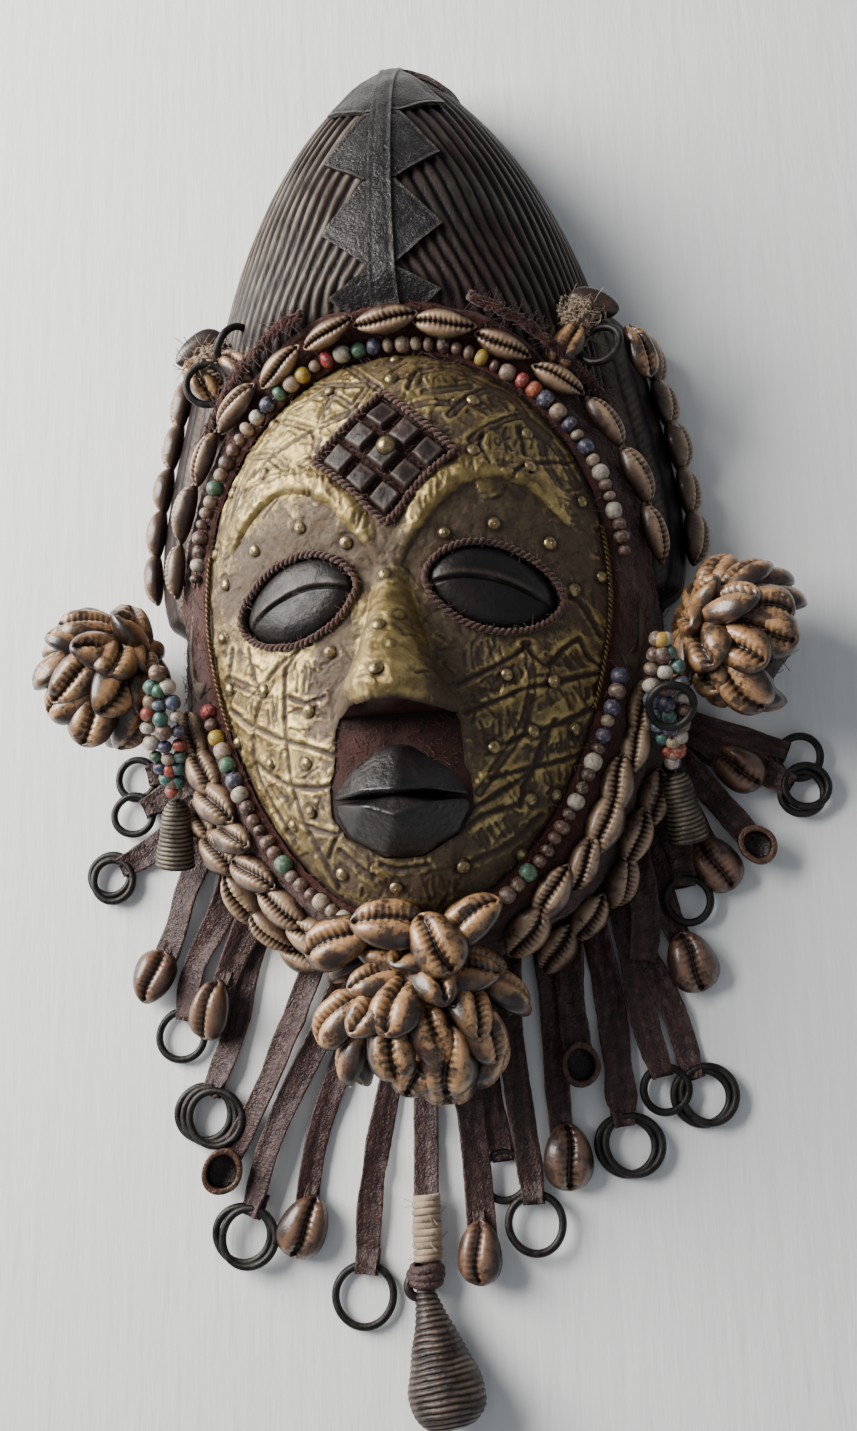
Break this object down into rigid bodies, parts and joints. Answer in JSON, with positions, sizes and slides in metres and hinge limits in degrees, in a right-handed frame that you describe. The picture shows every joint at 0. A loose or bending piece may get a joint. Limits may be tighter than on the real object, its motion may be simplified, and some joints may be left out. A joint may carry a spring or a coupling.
{
  "type": "carved face mask",
  "caption": "Carved wooden face mask with a tall ribbed coiffure, a worked brass face, shell rows and tassels, beads, and leather straps with rings and shells, lying on its back.",
  "frame": {"origin": "centre of the bounding box at floor level, in the plane of the rim", "axes": "+Y towards the peak of the coiffure, +Z out of the face, +X to the viewer's right when facing the mask"},
  "size_m": [0.3042, 0.5402, 0.1115],
  "materials": {
    "wood": "dark stained and waxed, rubbed paler on the edges",
    "brass_sheet": "hammered sheet, polished high places, brown patina in the grooves",
    "brass_wire": "twisted wire, dull brown patina",
    "felt_and_yarn": "red-brown felt and twisted yarn, matt",
    "crest_leather": "black, worn shiny",
    "strap_leather": "purple-brown wrinkled straps, with black iron rings and shells at their ends",
    "cowrie_shell": "sea shell, cream and tan, soft gloss",
    "tassel_shell": "sea shell, tan and brown, soft gloss",
    "trade_beads": "old opaque glass beads, mixed colours",
    "bronze": "cast, dark brown patina",
    "raffia": "grey-brown twisted raffia with shells and iron rings"
  },
  "bodies": {
    "root": {"carved_mask": "wood", "brass_face_sheet": "brass_sheet", "eye_cord_left": "felt_and_yarn", "eye_cord_right": "felt_and_yarn", "lozenge_cord": "felt_and_yarn", "cloth_band": "felt_and_yarn", "bead_row_top": "trade_beads", "bead_row_right": "trade_beads", "bead_row_left": "trade_beads", "cowrie_row_top": "cowrie_shell", "cowrie_row_right": "cowrie_shell", "cowrie_row_left": "cowrie_shell", "cowrie_outer_right": "cowrie_shell", "cowrie_outer_left": "cowrie_shell", "cowrie_wing_left": "cowrie_shell", "cowrie_wing_right": "cowrie_shell", "crest_patch_1": "crest_leather", "crest_patch_2": "crest_leather", "crest_patch_3": "crest_leather", "crest_patch_4": "crest_leather", "crest_strap": "crest_leather", "peak_binding": "crest_leather", "yarn_roll_left": "felt_and_yarn", "yarn_roll_right": "felt_and_yarn", "face_edge_wire_left": "brass_wire", "face_edge_wire_right": "brass_wire", "ear_tassel_left": "tassel_shell", "ear_tassel_right": "tassel_shell", "chin_tassel": "tassel_shell", "ear_bell_left": "bronze", "bead_strands_left": "trade_beads", "ear_bell_right": "bronze", "bead_strands_right": "trade_beads", "knot_left": "raffia", "knot_right": "raffia", "fringe_left_1": "strap_leather", "fringe_left_2": "strap_leather", "fringe_left_3": "strap_leather", "fringe_left_4": "strap_leather", "fringe_left_5": "strap_leather", "fringe_left_6": "strap_leather", "fringe_left_7": "strap_leather", "fringe_left_8": "strap_leather", "fringe_left_9": "strap_leather", "fringe_left_10": "strap_leather", "fringe_right_1": "strap_leather", "fringe_right_2": "strap_leather", "fringe_right_3": "strap_leather", "fringe_right_4": "strap_leather", "fringe_right_5": "strap_leather", "fringe_right_6": "strap_leather", "fringe_right_7": "strap_leather", "fringe_right_8": "strap_leather", "fringe_right_9": "strap_leather", "fringe_right_10": "strap_leather", "fringe_right_11": "strap_leather", "fringe_right_12": "strap_leather", "centre_strap": "strap_leather", "raffia_whipping": "raffia", "pear_bell": "bronze"}
  },
  "joints": []
}
